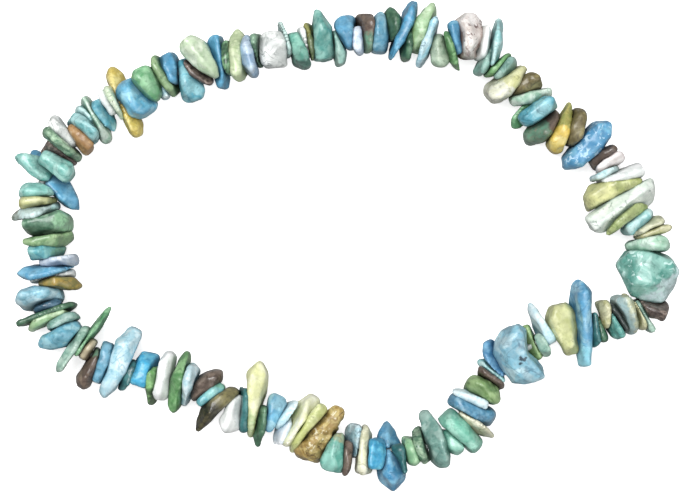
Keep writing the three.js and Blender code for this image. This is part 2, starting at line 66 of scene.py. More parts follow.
def rgb(code: str) -> Colour:
    """Linear colour of a six-digit hex code in sRGB."""
    shares = (int(code[k : k + 2], 16) / 255 for k in (0, 2, 4))
    return tuple(s / 12.92 if s <= 0.04045 else ((s + 0.055) / 1.055) ** 2.4 for s in shares)


# ---- node maths


class Term:
    """An output socket that takes part in arithmetic, with a Math node for each operation."""

    def __init__(self, graph: "Graph", socket: bpy.types.NodeSocket) -> None:
        """Wraps an output socket of a graph."""
        self.graph = graph
        self.socket = socket

    def math(self, operation: str, *values: Number, clamp: bool = False) -> "Term":
        """Adds one Math node.

        Args:
            operation: The node's operation.
            values: Its inputs, in order.
            clamp: Whether the result is kept from 0 to 1.

        Returns:
            The node's result.
        """
        inputs = dict(enumerate(values))
        return self.graph.add("ShaderNodeMath", inputs, operation=operation, use_clamp=clamp)

    def __add__(self, other: Number) -> "Term":
        """Sum."""
        return self.math("ADD", self, other)

    def __sub__(self, other: Number) -> "Term":
        """Difference."""
        return self.math("SUBTRACT", self, other)

    def __rsub__(self, other: Number) -> "Term":
        """Difference the other way round."""
        return self.math("SUBTRACT", other, self)

    def __mul__(self, other: Number) -> "Term":
        """Product."""
        return self.math("MULTIPLY", self, other)

    def __rtruediv__(self, other: Number) -> "Term":
        """Quotient of a number by this value."""
        return self.math("DIVIDE", other, self)

    __radd__ = __add__
    __rmul__ = __mul__

    def sibling(self, output: str) -> "Term":
        """Another output of the same node."""
        return Term(self.graph, self.socket.node.outputs[output])

    def size(self) -> "Term":
        """The value without its sign."""
        return self.math("ABSOLUTE", self)

    def ramp(self, start: float, end: float) -> "Term":
        """0 at start, 1 at end and beyond it, straight between; end may be below start."""
        return self.math("MULTIPLY", self - start, 1 / (end - start), clamp=True)


@dataclass
class Graph:
    """A node tree that is being built."""

    tree: bpy.types.NodeTree

    def add(
        self, kind: str, inputs: dict, output: Union[int, str, None] = 0, **settings: object
    ) -> Optional[Term]:
        """Adds any node.

        Args:
            kind: The node's type.
            inputs: Values or Terms by socket name or number.
            output: The output that is wanted, or None.
            settings: The node's properties, which are set first.

        Returns:
            That output.
        """
        node = self.tree.nodes.new(kind)
        for name, value in settings.items():
            setattr(node, name, value)
        for name, value in inputs.items():
            if isinstance(value, Term):
                self.tree.links.new(value.socket, node.inputs[name])
            else:
                node.inputs[name].default_value = value
        return None if output is None else Term(self, node.outputs[output])

    def mix(self, share: Number, below: Union[Colour, Term], above: Union[Colour, Term]) -> Term:
        """Mixes two colours.

        Args:
            share: How much of the second one, from 0 to 1.
            below: The first colour.
            above: The second colour.

        Returns:
            The mixed colour.
        """
        one, two = [c if isinstance(c, Term) else (*c, 1.0) for c in (below, above)]
        return self.add("ShaderNodeMix", {0: share, 6: one, 7: two}, 2, data_type="RGBA")


# ---- finishes


class Finish:
    """A finish for a piece."""

    def material(self, name: str) -> Material:
        """Makes the material.

        Args:
            name: The material's name.

        Returns:
            The material.
        """
        made = bpy.data.materials.new(name)
        made.use_nodes = True
        made.node_tree.nodes.clear()
        graph = Graph(made.node_tree)
        graph.add("ShaderNodeOutputMaterial", {"Surface": self.shader(graph)}, None)
        return made

    def shader(self, graph: Graph) -> Term:
        """Builds the shader in a graph and gives its output."""
        raise NotImplementedError


class Veining(Enum):
    """How strongly dark veins run through a stone."""

    FAINT = 0.3
    PLAIN = 0.55
    STRONG = 0.85


class Side(Enum):
    """Where a chip's second colour lies, as a turn from outside the ring onward along the thread."""

    OUTER = 0.0
    LEADING = math.pi / 4
    INNER = math.pi
    BACK = 3 * math.pi / 2


@dataclass(frozen=True)
class Fade:
    """How a colour comes in.

    Attributes:
        start: The measure at which it begins.
        full: The measure at which it is full.
        share: How much of it shows then.
    """

    start: float
    full: float
    share: float = 1.0

    def at(self, measure: Term) -> Term:
        """How much of the colour shows at a measure."""
        return measure.ramp(self.start, self.full) * self.share


@dataclass(frozen=True)
class Patches(Fade):
    """Patches of a colour, where noise is high enough.

    Attributes:
        size: About the size of a patch.
        detail: How much finer noise is in it.
        warp: How twisted it is.
    """

    size: float = MM
    detail: float = 1.0
    warp: float = 0.0


@dataclass(frozen=True)
class Skin:
    """What the skins of all stones have in common.

    Attributes:
        mottle: Fine mottling.
        mottling: Share of the cloud colour there, and its rise.
        flecks: Small flecks of vein colour.
        shades: Broad shades of vein colour.
        veined: Where there are veins.
        crack: A vein's edge, by how far its noise is off the middle.
        loops: Size of that noise, in clouds.
        clouds: Where clouds begin on a stone with none, and how much sooner on a full one.
        flakes: The same for flakes.
        soft: Softness of a flake's edge, half of a cloud's.
        swarms: Where flakes gather, with the size in flakes.
        rags: Size of the rags at the second colour's edge, and reach in millimetres.
        tone: Cloud colour on a light chip, and vein colour on a dark one.
        slide: How far a chip's tone slides its pattern along x and z, in metres.
        low: Painted shade in vein colour near the table, by height in millimetres.
        worn: Cloud colour on sharp edges, partly wear and partly a painted highlight.
        painted_crevice_shade: Painted shade in vein colour where other faces come close, by ambient
            occlusion.
        painted_groove_shade: Painted shade in vein colour in grooves.
        hole: Colour of the painted shade for an open drill hole, the dark of its inside.
        hole_at: Its middle, outward and onward, in millimetres.
        hole_rags: Size of the rags at its rim, and reach in square millimetres.
        hole_top: Its opening, by height in millimetres.
    """

    mottle: Patches = Patches(0.36, 0.64, 1.0, 0.45 * MM, 4.0)
    mottling: float = 0.4
    flecks: Patches = Patches(0.54, 0.7, 0.45, 0.6 * MM, 5.0, 1.2)
    shades: Patches = Patches(0.6, 0.4, 0.35, 1.5 * MM, 3.0)
    veined: Patches = Patches(0.38, 0.62, 1.0, 3.0 * MM)
    crack: Fade = Fade(0.022, 0.0)
    loops: float = 1.9
    clouds: Pair = (0.66, 0.32)
    flakes: Pair = (0.66, 0.11)
    soft: float = 0.05
    swarms: Patches = Patches(0.4, 0.5, 1.0, 3)
    rags: Pair = (1.1 * MM, 2.5)
    tone: Fade = Fade(0.0, 1.0, 0.15)
    slide: Pair = (0.4, 0.7)
    low: Fade = Fade(2.6, 0.6, 0.5)
    worn: Fade = Fade(0.53, 0.62, 0.55)
    painted_crevice_shade: Fade = Fade(0.85, 0.3, 0.7)
    painted_groove_shade: Fade = Fade(0.48, 0.4, 0.5)
    hole: str = "16202c"
    hole_at: Pair = (0.5, -0.3)
    hole_rags: Pair = (0.5 * MM, 1.2)
    hole_top: Fade = Fade(3.4, 3.8, 0.85)


SKIN = Skin()


@dataclass(frozen=True)
class Stone(Finish):
    """A tumbled stone.

    Attributes:
        colours: Codes of its main colour, of the clouds in it, and of its veins, which also gives its
            darker patches and the painted shade on its skin.
        clouds: How much of the surface clouds over, from 0 to 1.
        veining: How strongly it is veined.
        flakes: How plain the flakes in it are, from 0 to 1.
        flake: Colour of its flakes.
        second: Colour of its other end, if it has one.
        level: How far from the drilled hole that end begins, in millimetres.
        side: Where that end lies.
        blend: How softly it begins, in millimetres.
        spot: Radius of the open drill hole on its face, shown as painted shade, in millimetres.
        gloss: Roughness of the polish.
        speck: Size of a flake.
        relief: Depth of its grain.
        grain: Size of a cloud.
        lumps: Depth of its lumps, if it is a rough one.
    """

    colours: str
    clouds: float = 0.5
    veining: Veining = Veining.FAINT
    flakes: float = 0.0
    flake: str = "dcebef"
    second: str = ""
    level: float = 0.5
    side: Side = Side.OUTER
    blend: float = 0.2
    spot: float = 0.0
    gloss: float = 0.3
    speck: float = 0.55 * MM
    relief: float = 0.03 * MM
    grain: float = 2.0 * MM
    lumps: float = 0.0

    def shader(self, graph: Graph) -> Term:
        """Builds the stone's shader.

        Args:
            graph: The material's graph.

        Returns:
            The shader's output.
        """
        body, cloud, vein = (rgb(code) for code in self.colours.split())
        place = graph.add("ShaderNodeTexCoord", {}, "Object")
        beside = graph.add("ShaderNodeAttribute", {}, "Vector", attribute_name=BESIDE)
        split = graph.add("ShaderNodeSeparateXYZ", {0: beside})
        outward, onward, tone = (split.sibling(axis) for axis in "XYZ")
        height = graph.add("ShaderNodeSeparateXYZ", {0: place}, "Z") * (1 / MM)
        # Ambient occlusion, which sets the painted shade between chips and in crevices.
        open_air = graph.add("ShaderNodeAmbientOcclusion", {"Distance": 0.9 * MM}, "AO", samples=6)
        away = graph.add("ShaderNodeCombineXYZ", {"X": tone * SKIN.slide[0], "Z": tone * SKIN.slide[1]})
        own = graph.add("ShaderNodeVectorMath", {0: place, 1: away}, operation="ADD")

        def noise(size: float, detail: float, warp: float = 0.0) -> Term:
            """Noise with features of about a given size."""
            inputs = {"Vector": own, "Scale": 1 / size, "Detail": detail, "Distortion": warp}
            return graph.add("ShaderNodeTexNoise", inputs)

        def rags(size: float, reach: float) -> Term:
            """Noise round 0 that makes an edge ragged."""
            return (noise(size, detail=2.0) - 0.5) * reach

        def spread(patches: Patches) -> Term:
            """How much of its colour shows in patches."""
            return patches.at(noise(patches.size, patches.detail, patches.warp))

        middle = SKIN.clouds[0] - SKIN.clouds[1] * self.clouds
        clouds = Patches(middle - SKIN.soft, middle + SKIN.soft, size=self.grain, detail=5.0, warp=0.8)
        mottle = spread(SKIN.mottle)
        off_middle = (noise(self.grain * SKIN.loops, detail=2.5, warp=0.7) - 0.5).size()
        veins = SKIN.crack.at(off_middle) * spread(SKIN.veined)
        strong_veins = veins * self.veining.value
        ridge = graph.add("ShaderNodeNewGeometry", {}, "Pointiness")

        layers = [(spread(clouds), cloud)]
        if self.second:
            turn = self.side.value
            reach = outward * math.cos(turn) + onward * math.sin(turn)
            edge = reach + rags(*SKIN.rags) - self.level
            layers.append((edge.ramp(-self.blend, self.blend), rgb(self.second)))
        layers += [
            (mottle * SKIN.mottling, cloud),
            (spread(SKIN.flecks), vein),
            (spread(SKIN.shades), vein),
            (SKIN.tone.at(tone), cloud),
            (SKIN.tone.at(0.0 - tone), vein),
            (strong_veins, vein),
        ]
        if self.flakes:
            least = SKIN.flakes[0] - SKIN.flakes[1] * self.flakes
            flakes = Patches(least, least + SKIN.soft, size=self.speck, detail=3.0, warp=0.8)
            swarms = replace(SKIN.swarms, size=SKIN.swarms.size * self.speck)
            layers.append((spread(flakes) * spread(swarms) * self.flakes, rgb(self.flake)))
        layers += [
            # Painted shade: darker towards the table, where less light reaches.
            (SKIN.low.at(height), vein),
            # Lighter sharp edges: partly wear, partly a painted highlight.
            (SKIN.worn.at(ridge), cloud),
            # Painted shade where other faces come close.
            (SKIN.painted_crevice_shade.at(open_air), vein),
            # Painted shade in grooves.
            (SKIN.painted_groove_shade.at(ridge), vein),
        ]
        # Painted shade: a dark disc on the top face for the inside of an open drill hole.
        if self.spot:
            aside, ahead = outward - SKIN.hole_at[0], onward - SKIN.hole_at[1]
            ragged = aside * aside + ahead * ahead + rags(*SKIN.hole_rags)
            painted_hole_shade = ragged.ramp(self.spot**2, 0.5 * self.spot**2) * SKIN.hole_top.at(height)
            layers.append((painted_hole_shade, rgb(SKIN.hole)))
        colour = body
        for share, tint in layers:
            colour = graph.mix(share, colour, tint)

        rise = mottle * SKIN.mottling - strong_veins
        relief = {"Strength": 0.3, "Distance": self.relief, "Height": rise}
        looks = {
            "Base Color": colour,
            "Roughness": mottle * 0.1 + veins * 0.2 + self.gloss,
            "Normal": graph.add("ShaderNodeBump", relief),
            "IOR": 1.55,
            "Coat Weight": 0.15,
            "Coat Roughness": 0.12,
        }
        return graph.add("ShaderNodeBsdfPrincipled", looks)


PLAIN, STRONG = Veining.PLAIN, Veining.STRONG
INNER = Side.INNER

STONES: dict[str, Stone] = dict(
    sky=Stone("6ab6d8 a6d8e8 1b4c66", 0.4),
    sky_deep=Stone("4b9ac2 80bdd9 173f58", 0.35),
    sky_lobed=Stone("92cee2 c4e6ee 1c4660", 0.45, PLAIN, spot=0.5),
    sky_streaked=Stone("5aa2cb a4d4e8 225a80", 0.45, PLAIN, second="98dcea", level=2.0, blend=0.7),
    sky_tooth=Stone("6cb2ca a6d5df 23505f", 0.4),
    sky_cyan=Stone("58b0c6 9fd7e0 164a58", 0.45, PLAIN),
    steel=Stone("5199c0 86bfda 153a54", 0.35),
    steel_flaked=Stone("4790c2 7cbad8 143f60", 0.4, flakes=0.95, flake="b4d6ea", speck=0.6 * MM),
    steel_mottled=Stone("4593c0 86c0dc 174262", 0.45, PLAIN, 0.4),
    steel_pale=Stone("64a4c0 9ac8d8 214c60", 0.4),
    steel_domed=Stone("4e8fb2 9ccade 1a4258", 0.35, PLAIN),
    royal=Stone("4c8cba 82b6d6 1a3f60", 0.35),
    azure=Stone("3aa6d4 74cae4 144a6c", 0.35),
    ice=Stone("bfe3ec ebf7f9 639cab"),
    ice_streaked=Stone("aedae7 def2f6 4a92aa", 0.45, PLAIN),
    ice_blue=Stone("98d2e4 cfeaf1 2f6c82", 0.5, PLAIN),
    ice_spotted=Stone("aad5e0 d6ecf1 264a58", 0.5, PLAIN, 0.8, flake="33525e"),
    lavender=Stone("8fb2d0 c8dae9 36526e", 0.45, PLAIN),
    lavender_pale=Stone("bccfe2 eaf0f6 6580a0"),
    teal=Stone("5ca79e 98cdc2 143e3c", 0.4, PLAIN),
    teal_light=Stone("7fc0b6 b0ddd4 1f5450", 0.4),
    teal_banded=Stone("55a0a4 aedada 12363a", 0.5, STRONG, grain=1.2 * MM),
    teal_crystal=Stone(
        "66a99c a0d2c6 24564c", flakes=0.9, flake="c6e4de", second="dceff2", level=0.9, side=Side.LEADING,
        speck=1.0 * MM
    ),
    teal_tipped=Stone("5ca896 90c8b6 163c34", 0.5, PLAIN, second="1b2a28", level=1.9, side=INNER),
    teal_topped=Stone("5cb4a4 96d0c2 1a4a44", second="b9b88c", level=0.6, side=INNER),
    teal_grey=Stone("7eada2 aecdc3 2c4f48", 0.4, PLAIN),
    teal_green=Stone("5aa8b4 90cac8 1a484c", second="74ac80", level=0.8, side=INNER),
    deep_teal=Stone("2c686a 549292 0c2427", 0.3),
    aqua=Stone("90d0d2 cceae8 2f6e70", 0.45),
    aqua_rinded=Stone("a4c3c6 cddcd6 5c7468", 0.45, PLAIN, second="d8d8b0", level=0.3, side=Side.BACK),
    aqua_rimmed=Stone("aedde0 d9f1f1 1f4036", second="2b4a38", level=1.1),
    aqua_edged=Stone("aad6cf d6ece7 16302e", 0.4, STRONG),
    aqua_tipped=Stone("a9d4cf d5eae8 34504a", 0.5, PLAIN, second="6b6c5a", level=2.4),
    mint=Stone("bce6cc e2f4e8 36725a", 0.4),
    mint_foam=Stone("74bea6 a8dcc9 1c5c4e", 0.4),
    mint_grey=Stone("93bcaa c0dacb 36584c", 0.4, PLAIN),
    mint_ridged=Stone("aad6bc e6f4e8 33624c"),
    jade=Stone("5a9e6c 9acca0 1a462a", 0.35),
    jade_pale=Stone("86bc8e b8dcb4 2f5c3c", 0.4),
    jade_leaf=Stone("5a9258 98c68e 1c3e20", 0.35),
    jade_tipped=Stone("619a58 90c080 1b3a1c", second="0c120e", level=1.7),
    jade_olive=Stone("74965c acca90 2a4426", 0.45, PLAIN),
    moss=Stone("345e48 668e70 0c1e16", 0.3, PLAIN),
    moss_hearted=Stone("2f523c 8ab88c 0b1c12", 0.45, STRONG, grain=1.4 * MM),
    moss_topped=Stone("305240 648c70 0b1a14", 0.3, second="a2c8ac", level=0.9),
    moss_yellow=Stone("42543a 748256 12180e", 0.3, second="c8c470", level=0.9),
    moss_mottled=Stone("44745a a8c8a8 0e241a", 0.45, STRONG, grain=0.9 * MM),
    moss_round=Stone("3c6852 a0c4a8 0c2018", 0.3, STRONG, second="94c89c", level=1.3, side=INNER),
    olive=Stone("8ca45c bac88c 364020", 0.35),
    olive_leaf=Stone("70986a aac898 2a4426", 0.4),
    olive_yellow=Stone("aab668 d0d69a 4c5428", 0.4, second="ecebaa", level=0.2, side=INNER, blend=0.5),
    olive_cream=Stone("acac78 dad8b2 4a4a26", 0.45, PLAIN),
    lemon_olive=Stone("ccd08a e6e6b6 66683a", 0.4),
    lemon_edge=Stone("d0d88c eaedb8 8a9454", 0.4),
    olive_gold=Stone("7c7c4c a8904c 28301c", 0.45, STRONG, grain=1.3 * MM),
    celadon=Stone("cfe4c2 edf6e2 6c8c60", 0.4),
    celadon_spotted=Stone("e8f3e6 f8fcf6 7c9a8c", flakes=0.6, flake="34564e", speck=0.7 * MM),
    celadon_leaf=Stone("c4d6a8 e2ebc8 627a4a", 0.4),
    celadon_patched=Stone("a4cb9e cae2c0 5a7a3a", 0.45, PLAIN),
    celadon_lemon=Stone("eceeb2 f8f8d4 a0a468", 0.4, second="7fa86c", level=0.1, blend=0.7),
    celadon_grey=Stone("96ae98 bfd0ba 33482e", 0.4),
    yellow=Stone("dcc45c eedf94 7a6620", 0.35),
    yellow_cut=Stone("bbc080 dadcaa 687040", 0.45),
    yellow_ochre=Stone("dcbc50 ecda8a 6f6424", 0.35, second="96a05a", level=0.2),
    cream=Stone("d8d8b4 eeeed8 787858", 0.45, PLAIN),
    cream_lemon=Stone("f0f2c4 fcfce8 c4c890", 0.45),
    cream_speckled=Stone(
        "f4efe9 fdfaf7 8a6c60", 0.5, PLAIN, 0.9, flake="6c5450", second="4c3c38", level=1.1, side=INNER
    ),
    cream_tipped=Stone("d2d296 e2e2b4 6c7050", 0.4, PLAIN, second="efefe4", level=0.9, side=INNER),
    cream_grey=Stone("c8caa6 e0e2c6 5a5e48", 0.4, PLAIN, second="606452", level=0.6, side=INNER),
    tan=Stone("a07a50 c4a274 4a3018", 0.35, PLAIN, second="dfdcc6", level=0.6, side=Side.BACK),
    tan_rough=Stone(
        "98793a ccb878 3a280c", 0.4, STRONG, 0.7, flake="eeeace", gloss=0.42, relief=0.14 * MM,
        grain=0.9 * MM, lumps=0.5 * MM
    ),
    tan_pale=Stone("b09e7e d2c6a8 4f4230", 0.4, PLAIN),
    brown=Stone("564a42 847468 1c1410", 0.35, PLAIN, gloss=0.26),
    brown_speckled=Stone("3a302e 94847a 120d0c", 0.28, STRONG, grain=0.7 * MM),
    brown_green=Stone("5e4e46 8a7a6a 1c1612", 0.35, second="6a9e84", level=0.4, side=INNER),
    brown_olive=Stone("6a6042 948a5e 242010", 0.35),
    brown_inked=Stone("a09868 86805c 1a170e", 0.5, PLAIN, second="060504", blend=0.7),
    dark=Stone("29302e 505c58 0a0e0d", 0.3),
    dark_blue=Stone("28465a 50788f 0a161e", 0.35),
    white=Stone("f4f7f5 ffffff b4beba"),
    white_veined=Stone("eaedea fafcfa 747f7d", 0.5, STRONG, grain=1.1 * MM),
    white_pink=Stone("f5ece9 fcf8f7 b8a6a2"),
    white_blue=Stone("e6eff5 fafcfd 94aec0"),
)


@dataclass(frozen=True)
class Elastic(Finish):
    """The finish of the thread's clear elastic.

    Attributes:
        colour: Its colour.
        roughness: Its roughness.
        streak: How strongly the fibres in it show.
        shade: How bright they are beside the rest.
        uneven: How much rougher they are.
    """

    colour: str = "9ea8a4"
    roughness: float = 0.3
    streak: float = 0.08
    shade: float = 0.8
    uneven: float = 0.1

    def shader(self, graph: Graph) -> Term:
        """Builds the elastic's shader.

        Args:
            graph: The material's graph.

        Returns:
            The shader's output.
        """
        place = graph.add("ShaderNodeTexCoord", {}, "Object")
        fibres = graph.add("ShaderNodeTexNoise", {"Vector": place, "Scale": 4 / MM})
        base = rgb(self.colour)
        darker = tuple(self.shade * c for c in base)
        looks = {
            "Base Color": graph.mix(fibres * self.streak, base, darker),
            "Roughness": fibres * self.uneven + self.roughness,
        }
        return graph.add("ShaderNodeBsdfPrincipled", looks)


@dataclass(frozen=True)
class TableWhite(Finish):
    """The table's finish: clean white to look at, and quieter in the light that it throws up.

    Attributes:
        glow: How far its white is lifted.
        bounce: How much light it throws up under the chips.
        roughness: Its roughness.
    """

    glow: float = 0.7
    bounce: float = 0.3
    roughness: float = 0.9

    def shader(self, graph: Graph) -> Term:
        """Builds the table's shader.

        Args:
            graph: The material's graph.

        Returns:
            The shader's output.
        """
        plain = {"Base Color": (self.bounce,) * 3 + (1.0,), "Roughness": self.roughness}
        thrown = graph.add("ShaderNodeBsdfPrincipled", plain)
        lit = {"Base Color": WHITE, "Emission Color": WHITE, "Emission Strength": self.glow}
        seen = graph.add("ShaderNodeBsdfPrincipled", plain | lit)
        looked_at = graph.add("ShaderNodeLightPath", {}, "Is Camera Ray")
        return graph.add("ShaderNodeMixShader", {0: looked_at, 1: thrown, 2: seen})


# ---- thread


def shown(name: str, data: bpy.types.ID) -> Object:
    """Puts an object in the scene.

    Args:
        name: Its name.
        data: Its mesh, lamp or camera.

    Returns:
        The object.
    """
    made = bpy.data.objects.new(name, data)
    bpy.context.scene.collection.objects.link(made)
    return made


def finished(rough: Object) -> Object:
    """Turns an object with live modifiers into a plain mesh in the body's own place.

    Args:
        rough: The object with its modifiers.

    Returns:
        The same object, with the evaluated mesh and no modifier.
    """
    graph = bpy.context.evaluated_depsgraph_get()
    mesh = bpy.data.meshes.new_from_object(rough.evaluated_get(graph))
    rough.modifiers.clear()
    rough.data = mesh
    return rough


def new_tree(name: str, inputs: dict[str, tuple[str, object]]) -> tuple[Graph, Term, dict[str, str]]:
    """Starts a geometry node tree.

    Args:
        name: The tree's name.
        inputs: Each named input's socket type and default value.

    Returns:
        The graph, its group input and the identifier of each named input.
    """
    tree = bpy.data.node_groups.new(name, "GeometryNodeTree")
    face = tree.interface
    for way in ("OUTPUT", "INPUT"):
        face.new_socket("Geometry", in_out=way, socket_type="NodeSocketGeometry")
    names: dict[str, str] = {}
    for label, (kind, value) in inputs.items():
        socket = face.new_socket(label, in_out="INPUT", socket_type=kind)
        if value is not None:
            socket.default_value = value
        names[label] = socket.identifier
    graph = Graph(tree)
    return graph, graph.add("NodeGroupInput", {}), names


def given(start: Term, label: str) -> Term:
    """The group input's socket of that name."""
    return Term(start.graph, start.socket.node.outputs[label])


def end_tree(start: Term, shape: Term) -> None:
    """Ends a geometry node tree: the shape is realized and put in the finish that its input names.

    Args:
        start: The group input.
        shape: The shape.
    """
    graph = start.graph
    whole = graph.add("GeometryNodeRealizeInstances", {0: shape})
    dressed = {"Geometry": whole, "Material": given(start, "Finish")}
    done = graph.add("GeometryNodeSetMaterial", dressed)
    graph.add("NodeGroupOutput", {0: done}, None)


@dataclass
class Thread:
    """The closed elastic thread and its way round.

    Attributes:
        string_length: Once round the thread.
        radius: Half its thickness.
        height: Its centre above the table.
        shift: Moves the route to the middle of the ring's box, in its steps.
        pitches: Straight pieces in all.
        steps: Points on the curve from one place of the route to the next.
        sides: Sides of its section.
        route: Its places, clockwise from above, in steps.
    """

    string_length: float = 178.6 * MM
    radius: float = 0.35 * MM
    height: float = 2.9 * MM
    shift: Pair = (-0.05, -0.03)
    pitches: int = 1200
    steps: int = 60
    sides: int = 6
    route: tuple[Pair, ...] = (
        (-27.9, 10.6), (-23.7, 13.6), (-20.5, 15.4), (-17.3, 17.0), (-14.0, 18.3),
        (-10.0, 19.2), (-1.0, 20.7), (3.0, 21.3), (6.7, 21.0), (10.5, 20.2),
        (13.7, 19.4), (16.0, 17.2), (18.0, 14.8), (20.5, 12.2), (23.8, 10.1),
        (26.1, 7.8), (27.5, 5.0), (29.3, 2.2), (30.3, -0.7), (30.4, -3.5),
        (29.7, -5.9), (27.7, -6.9), (21.1, -8.8), (17.7, -10.6), (14.9, -12.6),
        (13.3, -15.3), (11.3, -18.3), (8.0, -20.1), (0.0, -20.3), (-3.7, -18.7),
        (-7.5, -17.1), (-15.5, -14.2), (-20.0, -12.7), (-24.0, -11.5), (-27.1, -9.9),
        (-28.9, -7.5), (-29.6, -4.5), (-29.9, 2.3), (-30.4, 5.5), (-29.7, 8.5),
    )
    places: list[Vector] = field(init=False)
    tree: KDTree = field(init=False)

    def __post_init__(self) -> None:
        """Works out evenly spaced places along the thread."""
        self.places = self._even_places()
        self.tree = KDTree(len(self.places))
        for number, place in enumerate(self.places):
            self.tree.insert(place, number)
        self.tree.balance()

    def _even_places(self) -> list[Vector]:
        """Walks the smooth curve through the route at an even pitch, at its real length.

        Returns:
            The places.
        """
        shift = Vector(self.shift)
        points = [Vector(p) + shift for p in self.route]
        fine: list[Vector] = []
        for n in range(len(points)):
            before, start, end, after = (points[(n + k - 1) % len(points)] for k in range(4))
            ways = (start - before, end - start, after - end)
            gap0, gap1, gap2 = (math.sqrt(way.length) for way in ways)
            leave = (start - before) / gap0 - (end - before) / (gap0 + gap1) + (end - start) / gap1
            arrive = (end - start) / gap1 - (after - start) / (gap1 + gap2) + (after - end) / gap2
            for k in range(self.steps):
                t = k / self.steps
                ease = 3 * t * t - 2 * t**3
                rise = (t**3 - 2 * t * t + t) * gap1
                fall = (t**3 - t * t) * gap1
                fine.append(start.lerp(end, ease) + leave * rise + arrive * fall)
        bits = list(zip(fine, fine[1:] + fine[:1]))
        lengths = [(b - a).length for a, b in bits]
        size = self.string_length / sum(lengths)
        pitch = sum(lengths) / self.pitches
        even: list[Vector] = []
        walked = 0.0
        for (a, b), length in zip(bits, lengths):
            while len(even) < self.pitches and len(even) * pitch < walked + length:
                level = a.lerp(b, (len(even) * pitch - walked) / length) * size
                even.append(Vector((level.x, level.y, self.height)))
            walked += length
        return even

    def station(self, place: Vector) -> tuple[int, float]:
        """Number of the nearest place on the thread, and how far it is."""
        return self.tree.find(place)[1:]

    def onward(self, number: int) -> Vector:
        """Direction of travel at a place."""
        count = len(self.places)
        return (self.places[(number + 1) % count] - self.places[number - 1]).normalized()

    def build(self, finish: Material) -> Object:
        """Makes the thread.

        Args:
            finish: Its material.

        Returns:
            The thread.
        """
        mesh = bpy.data.meshes.new("elastic_thread")
        count = len(self.places)
        mesh.from_pydata(self.places, [(k, (k + 1) % count) for k in range(count)], [])
        made = shown("elastic_thread", mesh)
        inputs = {
            "Radius": ("NodeSocketFloat", self.radius),
            "Sides": ("NodeSocketInt", self.sides),
            "Finish": ("NodeSocketMaterial", None),
        }
        graph, start, names = new_tree("drawn_thread", inputs)
        line = graph.add("GeometryNodeMeshToCurve", {0: given(start, "Geometry")})
        circle = {"Resolution": given(start, "Sides"), "Radius": given(start, "Radius")}
        section = graph.add("GeometryNodeCurvePrimitiveCircle", circle)
        skin = graph.add("GeometryNodeCurveToMesh", {0: line, 1: section})
        end_tree(start, skin)
        drawing = made.modifiers.new("drawing", "NODES")
        drawing.node_group = graph.tree
        drawing[names["Finish"]] = finish
        return finished(made)


# ---- chips


def close(shape: Shape) -> None:
    """Fills the holes in a shape."""
    rims = [e for e in shape.edges if e.is_boundary]
    bmesh.ops.holes_fill(shape, edges=rims, sides=0)


def hull_of(shape: Shape) -> Shape:
    """Gives the convex hull of a shape.

    Args:
        shape: The shape, which is freed.

    Returns:
        Its hull.
    """
    hull = bmesh.new()
    for v in shape.verts:
        hull.verts.new(v.co)
    shape.free()
    made = bmesh.ops.convex_hull(hull, input=hull.verts)
    spare = [v for v in made["geom_interior"] if isinstance(v, bmesh.types.BMVert)]
    bmesh.ops.delete(hull, geom=spare, context="VERTS")
    bmesh.ops.recalc_face_normals(hull, faces=hull.faces)
    return hull


LARGE: str = (
    "yellow sky jade sky_cyan celadon celadon_leaf white_veined teal steel sky_deep celadon_patched"
    " cream_speckled cream_tipped brown_green yellow_ochre steel_flaked olive_yellow celadon_spotted mint"
    " teal_crystal sky_streaked yellow_cut sky_lobed steel_domed mint_foam teal_grey steel_mottled"
    " teal_topped tan_rough lemon_edge cream_lemon celadon_lemon brown_inked azure ice_streaked sky_tooth"
    " ice_blue steel moss_round steel"
)
RUNS: dict[str, str] = {
    "run_1": "teal_light teal_light brown_speckled moss_mottled white_veined tan teal_banded aqua"
    " mint_ridged sky_cyan white celadon ice olive_leaf steel brown_speckled sky_deep moss_hearted",
    "run_2": "lavender moss_topped aqua_edged teal_tipped white moss_yellow teal_grey lavender_pale"
    " brown_green steel_pale moss moss ice_blue celadon_grey jade_leaf steel",
    "run_3": "white teal_grey aqua jade_leaf teal_grey brown_olive mint_ridged jade sky_cyan brown_olive",
    "run_4": "brown white_pink aqua_rimmed white olive aqua cream_grey olive_cream brown_speckled mint_grey"
    " olive_cream aqua_rinded dark teal olive_cream moss deep_teal",
    "run_5": "ice mint_grey jade_olive royal aqua brown jade_olive ice cream mint_foam",
    "run_6": "moss_mottled jade_pale deep_teal azure cream ice_spotted brown white_blue ice sky moss",
    "run_7": "deep_teal white teal_green brown ice jade_leaf white jade_tipped deep_teal steel_pale"
    " brown_green tan_pale jade mint_grey",
    "run_8": "teal_grey celadon_patched moss dark_blue olive_gold white lavender_pale teal_green olive_leaf"
    " aqua_tipped lemon_olive teal_light",
}


@dataclass
class RoughChip:
    """A chip as it comes out of the frame.

    Attributes:
        name: Its piece name.
        stone: Name of its stone.
        mesh: Its closed, angular shape.
        hole: Number of the thread's place in the middle of its drilled hole.
    """

    name: str
    stone: str
    mesh: Mesh
    hole: int


